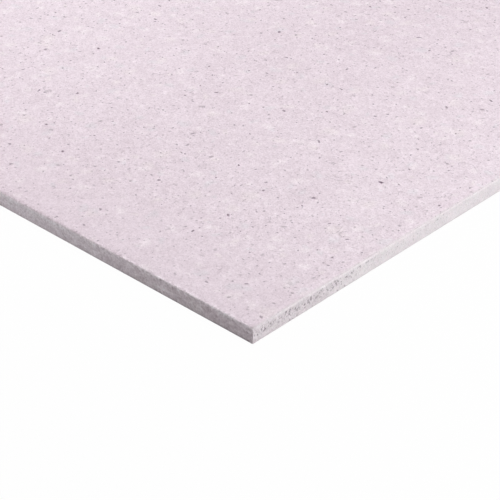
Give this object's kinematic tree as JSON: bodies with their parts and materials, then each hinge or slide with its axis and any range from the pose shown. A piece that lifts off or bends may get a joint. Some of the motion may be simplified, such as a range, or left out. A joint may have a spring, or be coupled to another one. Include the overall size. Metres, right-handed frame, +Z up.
{
  "type": "drywall sheet",
  "caption": "Full gypsum board: a gypsum core between a speckled face paper, folded round both long edges, and a plain back paper.",
  "frame": {"origin": "middle of the underside, where the board lies on the floor", "axes": "+X along the board's length, +Y across its width, +Z up through its thickness, from the back to the face"},
  "size_m": [2.4, 1.2, 0.0125],
  "materials": {
    "core": "cut gypsum, matt, pitted",
    "face_paper": "pale pink-lilac liner paper with grey flecks, matt",
    "back_paper": "plain grey recycled liner paper, matt"
  },
  "bodies": {
    "root": {"gypsum_core": "core", "face_paper": "face_paper", "back_paper": "back_paper"}
  },
  "joints": []
}
